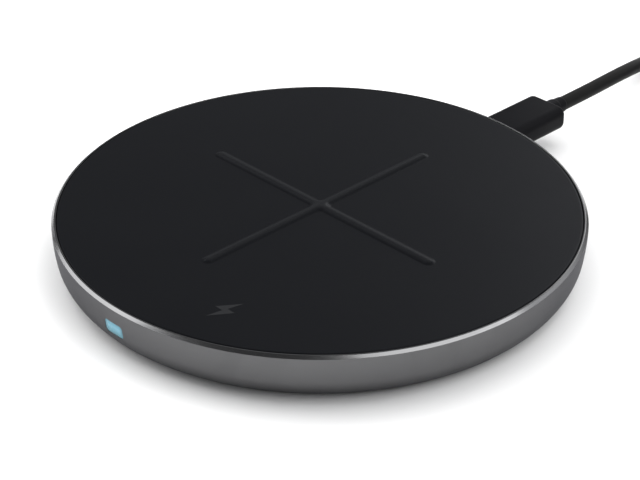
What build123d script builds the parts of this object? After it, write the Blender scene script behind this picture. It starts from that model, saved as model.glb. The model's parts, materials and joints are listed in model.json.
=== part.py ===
from build123d import *
import math
import os

# Wireless charging pad with its USB lead. Millimetres, +Z up. The origin is the middle of the
# surface that the pad stands on. +Y points to the rear, where the lead plugs in, and the
# status window faces -Y. The arms of the raised cross lie along X and Y.

os.makedirs("parts", exist_ok=True)

# Housing
PAD_RADIUS = 50.0
METAL_HEIGHT = 9.5
FOOT_GAP = 0.6
TOP_Z = FOOT_GAP + METAL_HEIGHT
RIM_CHAMFER = 0.5
RIM_LAND = 0.3
BORE_RADIUS = PAD_RADIUS - RIM_CHAMFER - RIM_LAND
SHOULDER_RADIUS = 49.6
SHOULDER_Z = 4.55
BASE_RADIUS = 47.0
INNER_RADIUS = 48.2
INNER_LOW_RADIUS = 47.2
INNER_LOW_Z = 4.2
FLANGE_LOW_Z = 1.8
FLANGE_TOP_Z = 2.6
FLANGE_BORE = 41.5
PLATE_RECESS = 43.4

# Top cover
LEDGE_Z = 8.9
COVER_RADIUS = 49.0
TOP_PLATE_THICK = 0.7
ADHESIVE_THICK = 0.1
CROSS_LENGTH = 58.0
CROSS_WIDTH = 1.5
CROSS_HEIGHT = 0.45

# Bottom cover and foot
BOTTOM_RADIUS = 43.3
FOOT_OUTER = 41.9
FOOT_INNER = 38.6
FOOT_FIT = 0.1
FOOT_THICK = 1.0
SCREW_CIRCLE = 36.0
SCREW_RADIUS = 0.95
SCREW_HEAD_RADIUS = 1.9
SCREW_HEAD_DEPTH = 1.1
SCREW_TIP_Z = 7.0

# Socket and plug, on one axis along Y
PORT_Z = 6.25
SOCKET_WIDTH = 9.1
SOCKET_HEIGHT = 3.25
SOCKET_WALL = 0.25
SOCKET_BACK_Y = 42.2
SOCKET_MOUTH_Y = 49.4
TONGUE_WIDTH = 6.7
TONGUE_THICK = 0.7
PLUG_WIDTH = 8.25
PLUG_HEIGHT = 2.4
PLUG_WALL = 0.2
PLUG_TIP_Y = 43.5
OVERMOULD_Y = 50.2
OVERMOULD_END_Y = 66.2
OVERMOULD_WIDTH = 9.8
OVERMOULD_HEIGHT = 5.2
OVERMOULD_CORNER = 1.9
PLUG_HOLD = 2.3
CONTACT_COUNT = 12
CONTACT_PITCH = 0.5
CONTACT_WIDTH = 0.25

# Circuit board
BOARD_TOP = PORT_Z - SOCKET_HEIGHT / 2
BOARD_THICK = 1.0
BOARD_BOTTOM = BOARD_TOP - BOARD_THICK
BOARD_RADIUS = 43.6

# Coil stack, from the seat up
SEAT_LOW_Z = 5.45
SEAT_Z = 6.1
SEAT_RADIUS = 27.0
FERRITE_THICK = 0.9
COIL_TOP_Z = LEDGE_Z - ADHESIVE_THICK
COIL_OUTER = 21.5
COIL_INNER = 10.0

# Status window
WINDOW_Z = 5.5
WINDOW_WIDTH = 4.7
WINDOW_HEIGHT = 2.7
WINDOW_CORNER = 0.7
WINDOW_FIT = 0.05

# Lead: where it leaves the plug, where it enters the coil, and where it leaves it
CORD_RADIUS = 1.5
RELIEF_Y = 68.2
RELIEF_END_Y = 70.5
RELIEF_RADIUS = 1.95
COIL_CENTRE = (14.6, 131.0)
TURN_RADIUS = 18.0
TURN_PITCH = 3.1
COIL_HALF = TURN_PITCH + CORD_RADIUS
OUTER_TURN = TURN_RADIUS + TURN_PITCH
LEAVE_ANGLE = 15.0
STUB_LENGTH = 12.5
STUB_RADIUS = CORD_RADIUS - 0.03
TIE_WIDTH = 6.0
TIE_THICK = 0.6

# Far plug, lying flat and pointing to -Y
FAR_X = 41.5
FAR_Z = 4.0
FAR_RELIEF_Y = 103.0
FAR_BODY_Y = 97.0
FAR_BODY_END_Y = 73.0
FAR_TIP_Y = 60.5
FAR_BODY_WIDTH = 15.0
FAR_SHELL_WIDTH = 12.0
FAR_SHELL_HEIGHT = 4.5
FAR_SHELL_WALL = 0.3


def rear_plane(y, z):
    """A sketch plane that faces +Y, with its local x along the model's x."""
    return Plane(origin=(0, y, z), x_dir=(1, 0, 0), z_dir=(0, 1, 0))


def wall_curve(inset):
    """The outside of the wall from the rim to the base, drawn `inset` inside the real one."""
    shoulder = TangentArc(
        (PAD_RADIUS - inset, TOP_Z - RIM_CHAMFER),
        (SHOULDER_RADIUS - inset, SHOULDER_Z),
        tangent=(0, -1),
    )
    return TangentArc(shoulder @ 1, (BASE_RADIUS - inset, FOOT_GAP), tangent=shoulder % 1)


def save(builder, name):
    """Label a finished piece and write it as its own STEP file."""
    builder.part.label = name
    export_step(builder.part, f"parts/{name}.step")


# ---------------------------------------------------------------- housing

with BuildPart() as aluminium_housing:
    with BuildSketch(Plane.XZ):
        with BuildLine():
            Line((BORE_RADIUS, TOP_Z), (PAD_RADIUS - RIM_CHAMFER, TOP_Z))
            Line((PAD_RADIUS - RIM_CHAMFER, TOP_Z), (PAD_RADIUS, TOP_Z - RIM_CHAMFER))
            wall_curve(0)
            Polyline(
                (BASE_RADIUS, FOOT_GAP),
                (PLATE_RECESS, FOOT_GAP),
                (PLATE_RECESS, FLANGE_LOW_Z),
                (FLANGE_BORE, FLANGE_LOW_Z),
                (FLANGE_BORE, FLANGE_TOP_Z),
                (INNER_LOW_RADIUS, FLANGE_TOP_Z),
                (INNER_RADIUS, INNER_LOW_Z),
                (INNER_RADIUS, LEDGE_Z),
                (BORE_RADIUS, LEDGE_Z),
                (BORE_RADIUS, TOP_Z),
            )
        make_face()
    revolve(axis=Axis.Z)
    # Port opening in the rear of the wall, around the socket
    with BuildSketch(rear_plane(PAD_RADIUS - 4, PORT_Z)):
        SlotOverall(SOCKET_WIDTH + 0.3, SOCKET_HEIGHT + 0.3)
    extrude(amount=6, mode=Mode.SUBTRACT)
    # Window slot in the front of the wall
    with BuildSketch(rear_plane(-PAD_RADIUS - 2, WINDOW_Z)):
        RectangleRounded(WINDOW_WIDTH, WINDOW_HEIGHT, WINDOW_CORNER)
    extrude(amount=6, mode=Mode.SUBTRACT)
save(aluminium_housing, "aluminium_housing")

# ---------------------------------------------------------------- top cover

plate_top = LEDGE_Z + TOP_PLATE_THICK
skin_low = plate_top + ADHESIVE_THICK

with BuildPart() as top_plate:
    with BuildSketch(Plane.XY.offset(LEDGE_Z)):
        Circle(COVER_RADIUS)
    extrude(amount=TOP_PLATE_THICK)
save(top_plate, "top_plate")

with BuildPart() as skin_adhesive:
    with BuildSketch(Plane.XY.offset(plate_top)):
        Circle(COVER_RADIUS - 0.3)
    extrude(amount=ADHESIVE_THICK)
save(skin_adhesive, "skin_adhesive")

with BuildPart() as top_skin:
    with BuildSketch(Plane.XY.offset(skin_low)):
        Circle(COVER_RADIUS)
    extrude(amount=TOP_Z - skin_low)
    fillet(top_skin.edges().group_by(Axis.Z)[-1], radius=0.15)
    # Raised cross, with round ends and softened top edges
    with BuildSketch(Plane.XY.offset(TOP_Z)):
        SlotOverall(CROSS_LENGTH, CROSS_WIDTH)
        SlotOverall(CROSS_LENGTH, CROSS_WIDTH, rotation=90)
    extrude(amount=CROSS_HEIGHT)
    chamfer(top_skin.edges().group_by(Axis.Z)[-1], length=0.15)
save(top_skin, "top_skin")

# ---------------------------------------------------------------- bottom cover and foot

post_radius = 2.6
groove_top = FOOT_THICK + ADHESIVE_THICK

with BuildPart() as bottom_plate:
    with BuildSketch(Plane.XY.offset(FOOT_GAP)):
        Circle(BOTTOM_RADIUS)
    extrude(amount=FLANGE_LOW_Z - FOOT_GAP)
    chamfer(bottom_plate.edges().group_by(Axis.Z)[0], length=0.2)
    # Groove for the foot ring
    with BuildSketch(Plane.XY.offset(FOOT_GAP)):
        Circle(FOOT_OUTER + FOOT_FIT)
        Circle(FOOT_INNER - FOOT_FIT, mode=Mode.SUBTRACT)
    extrude(amount=groove_top - FOOT_GAP, mode=Mode.SUBTRACT)
    # Posts that carry the circuit board
    with BuildSketch(Plane.XY.offset(FLANGE_LOW_Z)):
        with PolarLocations(SCREW_CIRCLE, 4, start_angle=45):
            Circle(post_radius)
    extrude(amount=BOARD_BOTTOM - FLANGE_LOW_Z)
    # Countersunk screw holes, opening downwards
    with Locations(Plane(origin=(0, 0, FOOT_GAP), z_dir=(0, 0, -1))):
        with PolarLocations(SCREW_CIRCLE, 4, start_angle=45):
            CounterSinkHole(radius=1.1, counter_sink_radius=2.1, depth=BOARD_BOTTOM)
save(bottom_plate, "bottom_plate")

with BuildPart() as foot_adhesive:
    with BuildSketch(Plane.XY.offset(FOOT_THICK)):
        Circle(FOOT_OUTER)
        Circle(FOOT_INNER, mode=Mode.SUBTRACT)
    extrude(amount=ADHESIVE_THICK)
save(foot_adhesive, "foot_adhesive")

with BuildPart() as foot_ring:
    with BuildSketch():
        Circle(FOOT_OUTER)
        Circle(FOOT_INNER, mode=Mode.SUBTRACT)
    extrude(amount=FOOT_THICK)
    chamfer(foot_ring.edges().group_by(Axis.Z)[0], length=0.25)
save(foot_ring, "foot_ring")

with BuildPart() as cover_screw:
    with BuildSketch(Plane.XZ):
        with BuildLine():
            Polyline(
                (0, FOOT_GAP + 0.1),
                (SCREW_HEAD_RADIUS, FOOT_GAP + 0.1),
                (SCREW_RADIUS, FOOT_GAP + SCREW_HEAD_DEPTH),
                (SCREW_RADIUS, SCREW_TIP_Z - 0.6),
                (SCREW_RADIUS - 0.5, SCREW_TIP_Z),
                (0, SCREW_TIP_Z),
                close=True,
            )
        make_face()
    revolve(axis=Axis.Z)
    # Cross recess in the head
    with BuildSketch(Plane.XY.offset(FOOT_GAP)):
        Rectangle(2.2, 0.45)
        Rectangle(0.45, 2.2)
    extrude(amount=0.7, taper=12, mode=Mode.SUBTRACT)

with BuildPart() as cover_screws:
    with PolarLocations(SCREW_CIRCLE, 4, start_angle=45):
        add(cover_screw.part)
save(cover_screws, "cover_screws")

# ---------------------------------------------------------------- inner frame and coil

with BuildPart() as inner_frame:
    # Outer ring, standing on the housing's flange and carrying the top plate's rim
    with BuildSketch(Plane.XY.offset(FLANGE_TOP_Z)):
        Circle(INNER_LOW_RADIUS - 0.2)
        Circle(INNER_LOW_RADIUS - 2.4, mode=Mode.SUBTRACT)
    extrude(amount=LEDGE_Z - FLANGE_TOP_Z)
    # Coil seat and its four spokes
    with BuildSketch(Plane.XY.offset(SEAT_LOW_Z)):
        Circle(SEAT_RADIUS)
        with PolarLocations(SCREW_CIRCLE, 4, start_angle=45):
            Rectangle(18.5, 4.0)
        Circle(4.0, mode=Mode.SUBTRACT)
    extrude(amount=SEAT_Z - SEAT_LOW_Z)
    # Screw bosses that hold the circuit board down
    with BuildSketch(Plane.XY.offset(BOARD_TOP)):
        with PolarLocations(SCREW_CIRCLE, 4, start_angle=45):
            Circle(2.4)
    extrude(amount=8.2 - BOARD_TOP)
    with BuildSketch(Plane.XY.offset(BOARD_TOP)):
        with PolarLocations(SCREW_CIRCLE, 4, start_angle=45):
            Circle(SCREW_RADIUS + 0.03)
    extrude(amount=7.4 - BOARD_TOP, mode=Mode.SUBTRACT)
    # Gaps in the ring for the socket and for the window
    with BuildSketch(Plane.XY.offset(FLANGE_TOP_Z)):
        with Locations((0, 46)):
            Rectangle(15, 6)
        with Locations((0, -46)):
            Rectangle(9, 6)
    extrude(amount=LEDGE_Z - FLANGE_TOP_Z, mode=Mode.SUBTRACT)
save(inner_frame, "inner_frame")

with BuildPart() as ferrite_shield:
    with BuildSketch(Plane.XY.offset(SEAT_Z)):
        Circle(24.0)
        Circle(4.0, mode=Mode.SUBTRACT)
    extrude(amount=FERRITE_THICK)
save(ferrite_shield, "ferrite_shield")

coil_low = SEAT_Z + FERRITE_THICK

with BuildPart() as charging_coil:
    with BuildSketch(Plane.XY.offset(coil_low)):
        Circle(COIL_OUTER)
        Circle(COIL_INNER, mode=Mode.SUBTRACT)
    extrude(amount=COIL_TOP_Z - coil_low)
    fillet(charging_coil.edges().filter_by(GeomType.CIRCLE), radius=0.5)
save(charging_coil, "charging_coil")

with BuildPart() as coil_adhesive:
    with BuildSketch(Plane.XY.offset(COIL_TOP_Z)):
        Circle(COIL_OUTER - 0.8)
        Circle(COIL_INNER + 0.8, mode=Mode.SUBTRACT)
    extrude(amount=ADHESIVE_THICK)
save(coil_adhesive, "coil_adhesive")

# Two leads from the coil's rim, out past the seat and down to the board
wire_radius = 0.5
wire_z = (coil_low + COIL_TOP_Z) / 2

with BuildPart() as coil_leads:
    for side in (-1, 1):
        wire_y = side * 1.4
        with BuildLine() as wire_path:
            FilletPolyline(
                (COIL_OUTER, wire_y, wire_z),
                (30.5, wire_y, wire_z),
                (30.5, wire_y, BOARD_TOP),
                radius=1.5,
            )
        with BuildSketch(Plane(origin=wire_path.line @ 0, z_dir=wire_path.line % 0)):
            Circle(wire_radius)
        sweep(path=wire_path.line)
save(coil_leads, "coil_leads")

with BuildPart() as temperature_sensor:
    with BuildSketch(Plane.XY.offset(coil_low + 0.4)):
        Circle(1.3)
    extrude(amount=COIL_TOP_Z - coil_low - 0.4)
    fillet(temperature_sensor.edges().filter_by(GeomType.CIRCLE), radius=0.4)
    with BuildSketch(Plane.XY.offset(BOARD_TOP)):
        with GridLocations(1.2, 1, 2, 1):
            Circle(0.25)
    extrude(amount=coil_low + 0.8 - BOARD_TOP)
save(temperature_sensor, "temperature_sensor")

# ---------------------------------------------------------------- circuit board

with BuildPart() as circuit_board:
    with BuildSketch(Plane.XY.offset(BOARD_BOTTOM)):
        Circle(BOARD_RADIUS)
        with Locations((0, 43.8)):
            Rectangle(12, 7.2)
        with PolarLocations(SCREW_CIRCLE, 4, start_angle=45):
            Circle(1.1, mode=Mode.SUBTRACT)
    extrude(amount=BOARD_THICK)
save(circuit_board, "circuit_board")

with BuildPart() as controller_chip:
    with BuildSketch(Plane.XY.offset(BOARD_TOP)):
        with Locations((0, 14)):
            Rectangle(6, 6)
    extrude(amount=0.7)
    chamfer(controller_chip.edges().group_by(Axis.Z)[-1], length=0.1)
save(controller_chip, "controller_chip")

with BuildPart() as bridge_transistors:
    with BuildSketch(Plane.XY.offset(BOARD_TOP)):
        with Locations((0, -14)):
            with GridLocations(5, 5, 2, 2):
                Rectangle(3.3, 3.3)
    extrude(amount=0.7)
save(bridge_transistors, "bridge_transistors")

with BuildPart() as resonant_capacitors:
    with BuildSketch(Plane.XY.offset(BOARD_TOP)):
        with Locations((36, 0)):
            with GridLocations(1, 7, 1, 4):
                Rectangle(5.7, 5.0)
    extrude(amount=2.4)
    chamfer(resonant_capacitors.edges().group_by(Axis.Z)[-1], length=0.2)
save(resonant_capacitors, "resonant_capacitors")

with BuildPart() as power_inductor:
    with BuildSketch(Plane.XY.offset(BOARD_TOP)):
        with Locations((-35, 7)):
            RectangleRounded(6.6, 6.6, 1.0)
    extrude(amount=3.0)
    chamfer(power_inductor.edges().group_by(Axis.Z)[-1], length=0.4)
save(power_inductor, "power_inductor")

with BuildPart() as input_capacitors:
    with BuildSketch(Plane.XY.offset(BOARD_TOP)):
        with Locations((-35, -6)):
            with GridLocations(1, 4, 1, 3):
                Rectangle(3.2, 2.5)
    extrude(amount=2.0)
save(input_capacitors, "input_capacitors")

# ---------------------------------------------------------------- status light

with BuildPart() as status_led:
    with BuildSketch(Plane.XY.offset(BOARD_TOP)):
        with Locations((0, -42.0)):
            Rectangle(3.2, 1.8)
    extrude(amount=1.5)
    chamfer(status_led.edges().group_by(Axis.Z)[-1], length=0.2)
save(status_led, "status_led")

with BuildPart() as led_window:
    # Flange behind the wall, then the pipe through the slot
    with BuildSketch(rear_plane(-44.2, WINDOW_Z)):
        RectangleRounded(WINDOW_WIDTH + 2, WINDOW_HEIGHT + 0.8, WINDOW_CORNER)
    extrude(amount=-2.6)
    with BuildSketch(rear_plane(-46.8, WINDOW_Z)):
        RectangleRounded(
            WINDOW_WIDTH - 2 * WINDOW_FIT,
            WINDOW_HEIGHT - 2 * WINDOW_FIT,
            WINDOW_CORNER - WINDOW_FIT,
        )
    extrude(amount=-5)
    # The face follows the wall, a hair inside it
    with BuildSketch(Plane.XZ):
        with BuildLine():
            outside = wall_curve(WINDOW_FIT)
            Polyline(
                outside @ 1,
                (0, FOOT_GAP),
                (0, TOP_Z - RIM_CHAMFER),
                (PAD_RADIUS - WINDOW_FIT, TOP_Z - RIM_CHAMFER),
            )
        make_face()
    revolve(axis=Axis.Z, mode=Mode.INTERSECT)
save(led_window, "led_window")

# ---------------------------------------------------------------- USB socket

with BuildPart() as usb_socket_shell:
    with BuildSketch(rear_plane(SOCKET_BACK_Y, PORT_Z)):
        SlotOverall(SOCKET_WIDTH, SOCKET_HEIGHT)
    extrude(amount=SOCKET_MOUTH_Y - SOCKET_BACK_Y)
    with BuildSketch(rear_plane(SOCKET_BACK_Y + SOCKET_WALL, PORT_Z)):
        SlotOverall(SOCKET_WIDTH - 2 * SOCKET_WALL, SOCKET_HEIGHT - 2 * SOCKET_WALL)
    extrude(amount=SOCKET_MOUTH_Y - SOCKET_BACK_Y, mode=Mode.SUBTRACT)
save(usb_socket_shell, "usb_socket_shell")

tongue_base_y = SOCKET_BACK_Y + SOCKET_WALL
tongue_root_y = tongue_base_y + 0.8
tongue_tip_y = 48.8

with BuildPart() as usb_socket_tongue:
    with BuildSketch(rear_plane(tongue_base_y, PORT_Z)):
        SlotOverall(SOCKET_WIDTH - 2 * SOCKET_WALL - 0.04, SOCKET_HEIGHT - 2 * SOCKET_WALL - 0.04)
    extrude(amount=tongue_root_y - tongue_base_y)
    with BuildSketch(rear_plane(tongue_root_y, PORT_Z)):
        Rectangle(TONGUE_WIDTH, TONGUE_THICK)
    extrude(amount=tongue_tip_y - tongue_root_y)
save(usb_socket_tongue, "usb_socket_tongue")

socket_contact_thick = 0.05
with BuildPart() as usb_socket_contacts:
    for side in (-1, 1):
        contact_z = PORT_Z + side * (TONGUE_THICK + socket_contact_thick) / 2
        with BuildSketch(rear_plane(44.6, contact_z)):
            with GridLocations(CONTACT_PITCH, 1, CONTACT_COUNT, 1):
                Rectangle(CONTACT_WIDTH, socket_contact_thick)
        extrude(amount=3.8)
save(usb_socket_contacts, "usb_socket_contacts")

# ---------------------------------------------------------------- plug of the lead

slot_width = TONGUE_WIDTH + 0.3
slot_height = 1.2

with BuildPart() as plug_shell:
    with BuildSketch(rear_plane(PLUG_TIP_Y, PORT_Z)):
        SlotOverall(PLUG_WIDTH, PLUG_HEIGHT)
        SlotOverall(PLUG_WIDTH - 2 * PLUG_WALL, PLUG_HEIGHT - 2 * PLUG_WALL, mode=Mode.SUBTRACT)
    extrude(amount=OVERMOULD_Y + PLUG_HOLD - PLUG_TIP_Y)
save(plug_shell, "plug_shell")

with BuildPart() as plug_insert:
    with BuildSketch(rear_plane(PLUG_TIP_Y + 0.15, PORT_Z)):
        SlotOverall(PLUG_WIDTH - 2 * PLUG_WALL - 0.04, PLUG_HEIGHT - 2 * PLUG_WALL - 0.04)
    extrude(amount=OVERMOULD_Y + PLUG_HOLD - PLUG_TIP_Y - 0.15)
    # Slot that takes the socket's tongue
    with BuildSketch(rear_plane(PLUG_TIP_Y, PORT_Z)):
        Rectangle(slot_width, slot_height)
    extrude(amount=tongue_tip_y + 0.4 - PLUG_TIP_Y, mode=Mode.SUBTRACT)
save(plug_insert, "plug_insert")

plug_contact_thick = 0.15
with BuildPart() as plug_contacts:
    for side in (-1, 1):
        contact_z = PORT_Z + side * (slot_height - plug_contact_thick) / 2
        with BuildSketch(rear_plane(45.2, contact_z)):
            with GridLocations(CONTACT_PITCH, 1, CONTACT_COUNT, 1):
                Rectangle(CONTACT_WIDTH, plug_contact_thick)
        extrude(amount=3.6)
save(plug_contacts, "plug_contacts")

with BuildPart() as plug_overmould:
    with BuildSketch(rear_plane(OVERMOULD_Y, PORT_Z)):
        RectangleRounded(OVERMOULD_WIDTH, OVERMOULD_HEIGHT, OVERMOULD_CORNER)
    extrude(amount=OVERMOULD_END_Y - OVERMOULD_Y)
    fillet(plug_overmould.faces().sort_by(Axis.Y)[-1].edges(), radius=1.2)
    fillet(plug_overmould.faces().sort_by(Axis.Y)[0].edges(), radius=0.25)
    # Pocket that grips the metal shell
    with BuildSketch(rear_plane(OVERMOULD_Y, PORT_Z)):
        SlotOverall(PLUG_WIDTH, PLUG_HEIGHT)
    extrude(amount=PLUG_HOLD, mode=Mode.SUBTRACT)
save(plug_overmould, "plug_overmould")

# Neck behind the plug: a short collar, then a taper down to the cord
with BuildPart() as plug_relief:
    with BuildSketch(Plane(origin=(0, 0, PORT_Z))):
        with BuildLine():
            Polyline(
                (0, OVERMOULD_END_Y),
                (RELIEF_RADIUS, OVERMOULD_END_Y),
                (RELIEF_RADIUS, RELIEF_Y),
                (RELIEF_RADIUS - 0.2, RELIEF_Y + 0.3),
                (CORD_RADIUS + 0.15, RELIEF_END_Y - 0.15),
                (CORD_RADIUS + 0.05, RELIEF_END_Y),
                (0, RELIEF_END_Y),
                close=True,
            )
        make_face()
    revolve(axis=Axis(origin=(0, 0, PORT_Z), direction=(0, 1, 0)))
save(plug_relief, "plug_relief")

# ---------------------------------------------------------------- cord


def corner_radii(points):
    """For each inner point, 0.45 of its shorter run over the tangent of half the turn."""
    radii = []
    for before, here, after in zip(points, points[1:], points[2:]):
        run_in = Vector(*here) - Vector(*before)
        run_out = Vector(*after) - Vector(*here)
        half_turn = math.radians(run_in.get_angle(run_out)) / 2
        radii.append(0.45 * min(run_in.length, run_out.length) / math.tan(half_turn))
    return radii


def check_tube(builder, path, name, radii):
    """Print the radii, and the volume beside the section times the length."""
    length = sum(edge.length for edge in path.edges())
    expected = math.pi * CORD_RADIUS**2 * length
    print(name, "radii", [round(radius, 1) for radius in radii])
    print(name, "length", round(length, 1))
    print(name, "volume", round(builder.part.volume, 1), "expected", round(expected, 1))


# From the plug down to the surface, and along it to the coil's first turn
coil_x, coil_y = COIL_CENTRE
enter_x = coil_x - OUTER_TURN
enter_y = coil_y - STUB_LENGTH
cord_route = [
    (0, RELIEF_END_Y, PORT_Z),
    (0, 79.0, PORT_Z),
    (-0.5, 88.0, 6.1),
    (-1.3, 96.0, 5.5),
    (-3.9, 104.5, 3.2),
    (enter_x, 113.0, CORD_RADIUS),
    (enter_x, enter_y, CORD_RADIUS),
]
cord_radii = corner_radii(cord_route)

with BuildPart() as cord:
    with BuildLine() as cord_path:
        FilletPolyline(*cord_route, radius=cord_radii)
    with BuildSketch(Plane(origin=cord_path.line @ 0, z_dir=cord_path.line % 0)):
        Circle(CORD_RADIUS)
    sweep(path=cord_path.line)
check_tube(cord, cord_path, "cord", cord_radii)
save(cord, "cord")

# The coil's outer shape, with a short stub where the cord enters and where it leaves. A stub is
# a little thinner than the cord, so that it doesn't just graze the coil's own surface.
leave_radians = math.radians(LEAVE_ANGLE)
leave_point = Vector(
    coil_x + OUTER_TURN * math.cos(leave_radians),
    coil_y + OUTER_TURN * math.sin(leave_radians),
    2 * COIL_HALF - CORD_RADIUS,
)
leave_direction = Vector(math.sin(leave_radians), -math.cos(leave_radians), -0.1).normalized()
tail_start = leave_point + leave_direction * STUB_LENGTH
tie_y = coil_y + TURN_RADIUS

with BuildPart() as cord_coil:
    with BuildSketch(Plane(origin=(coil_x, coil_y, 0), x_dir=(1, 0, 0), z_dir=(0, -1, 0))):
        with Locations((TURN_RADIUS, COIL_HALF)):
            RectangleRounded(2 * COIL_HALF, 2 * COIL_HALF, CORD_RADIUS - 0.1)
    revolve(axis=Axis(origin=(coil_x, coil_y, 0), direction=(0, 0, 1)))
    with BuildSketch(rear_plane(enter_y, CORD_RADIUS)):
        with Locations((enter_x, 0)):
            Circle(STUB_RADIUS)
    extrude(amount=coil_y - enter_y)
    with BuildSketch(Plane(origin=tail_start, z_dir=-leave_direction)):
        Circle(STUB_RADIUS)
    extrude(amount=STUB_LENGTH)
    # Room for the tie under the turns
    with BuildSketch():
        with Locations((coil_x, tie_y)):
            Rectangle(TIE_WIDTH + 0.4, 2 * COIL_HALF + 2)
    extrude(amount=TIE_THICK, mode=Mode.SUBTRACT)
save(cord_coil, "cord_coil")

# From the coil's last turn down to the far plug
tail_route = [
    tuple(tail_start),
    tuple(tail_start + leave_direction * 6.2),
    (FAR_X, 108.5, FAR_Z),
    (FAR_X, FAR_RELIEF_Y, FAR_Z),
]
tail_radii = corner_radii(tail_route)

with BuildPart() as cord_tail:
    with BuildLine() as tail_path:
        FilletPolyline(*tail_route, radius=tail_radii)
    with BuildSketch(Plane(origin=tail_path.line @ 0, z_dir=tail_path.line % 0)):
        Circle(CORD_RADIUS)
    sweep(path=tail_path.line)
check_tube(cord_tail, tail_path, "cord_tail", tail_radii)
save(cord_tail, "cord_tail")

# Soft strap round the bundle of turns, at the coil's far side
tie_inner_height = 2 * COIL_HALF + TIE_THICK + 0.2
tie_inner_width = 2 * COIL_HALF + 1.0
with BuildPart() as cable_tie:
    with BuildSketch(Plane(origin=(coil_x, tie_y, 0), x_dir=(0, 1, 0), z_dir=(1, 0, 0))):
        with Locations((0, TIE_THICK + tie_inner_height / 2)):
            RectangleRounded(tie_inner_width + 2 * TIE_THICK, tie_inner_height + 2 * TIE_THICK, 1.2)
            RectangleRounded(tie_inner_width, tie_inner_height, 0.6, mode=Mode.SUBTRACT)
    extrude(amount=TIE_WIDTH / 2, both=True)
save(cable_tie, "cable_tie")

# ---------------------------------------------------------------- far plug

with BuildPart() as usb_a_relief:
    with BuildSketch(Plane(origin=(FAR_X, 0, FAR_Z))):
        with BuildLine():
            Polyline(
                (0, FAR_BODY_Y),
                (2.9, FAR_BODY_Y),
                (2.6, FAR_BODY_Y + 2),
                (1.75, FAR_RELIEF_Y - 0.2),
                (1.6, FAR_RELIEF_Y),
                (0, FAR_RELIEF_Y),
                close=True,
            )
        make_face()
    revolve(axis=Axis(origin=(FAR_X, 0, FAR_Z), direction=(0, 1, 0)))
save(usb_a_relief, "usb_a_relief")

with BuildPart() as usb_a_overmould:
    with BuildSketch(rear_plane(FAR_BODY_END_Y, FAR_Z)):
        with Locations((FAR_X, 0)):
            RectangleRounded(FAR_BODY_WIDTH, 2 * FAR_Z, 1.8)
    extrude(amount=FAR_BODY_Y - FAR_BODY_END_Y)
    fillet(usb_a_overmould.faces().sort_by(Axis.Y)[-1].edges(), radius=1.5)
    fillet(usb_a_overmould.faces().sort_by(Axis.Y)[0].edges(), radius=0.4)
    # Pocket that grips the metal shell
    with BuildSketch(rear_plane(FAR_BODY_END_Y, FAR_Z)):
        with Locations((FAR_X, 0)):
            Rectangle(FAR_SHELL_WIDTH, FAR_SHELL_HEIGHT)
    extrude(amount=3, mode=Mode.SUBTRACT)
save(usb_a_overmould, "usb_a_overmould")

with BuildPart() as usb_a_shell:
    with BuildSketch(rear_plane(FAR_TIP_Y, FAR_Z)):
        with Locations((FAR_X, 0)):
            RectangleRounded(FAR_SHELL_WIDTH, FAR_SHELL_HEIGHT, 0.4)
            Rectangle(
                FAR_SHELL_WIDTH - 2 * FAR_SHELL_WALL,
                FAR_SHELL_HEIGHT - 2 * FAR_SHELL_WALL,
                mode=Mode.SUBTRACT,
            )
    extrude(amount=FAR_BODY_END_Y + 3 - FAR_TIP_Y)
    # Latch windows through the upper and lower walls
    with BuildSketch():
        with Locations((FAR_X, FAR_TIP_Y + 6)):
            with GridLocations(5.4, 1, 2, 1):
                Rectangle(2.3, 2.3)
    extrude(amount=2 * FAR_Z, mode=Mode.SUBTRACT)
save(usb_a_shell, "usb_a_shell")

insert_width = FAR_SHELL_WIDTH - 2 * FAR_SHELL_WALL
insert_low_z = FAR_Z - FAR_SHELL_HEIGHT / 2 + FAR_SHELL_WALL
insert_thick = 1.9
with BuildPart() as usb_a_insert:
    with BuildSketch(Plane.XY.offset(insert_low_z)):
        with Locations((FAR_X, (FAR_TIP_Y + 0.5 + FAR_BODY_END_Y + 3) / 2)):
            Rectangle(insert_width - 0.1, FAR_BODY_END_Y + 2.5 - FAR_TIP_Y)
    extrude(amount=insert_thick)
save(usb_a_insert, "usb_a_insert")

with BuildPart() as usb_a_contacts:
    with BuildSketch(Plane.XY.offset(insert_low_z + insert_thick)):
        with Locations((FAR_X, FAR_TIP_Y + 6.5)):
            with GridLocations(2.4, 1, 4, 1):
                Rectangle(1.0, 9.0)
    extrude(amount=0.15)
save(usb_a_contacts, "usb_a_contacts")
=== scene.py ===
# %% [markdown]
# # A wireless charging pad and its lead
# The object is a slim round charger: a metal bowl that a lathe turned, a soft black skin with a raised
# cross on which a phone lies, a small blue status window, and a black lead that plugs in at the rear.
# The engineering model gives every place and size, and it is loaded first as a fixed frame. The cells
# after that build the looks around it: camera, cord, studio, finishes, and then one piece at a time.

# %% Load the frame
import bmesh
import bpy
import json
import math
from mathutils import Matrix, Vector


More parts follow.
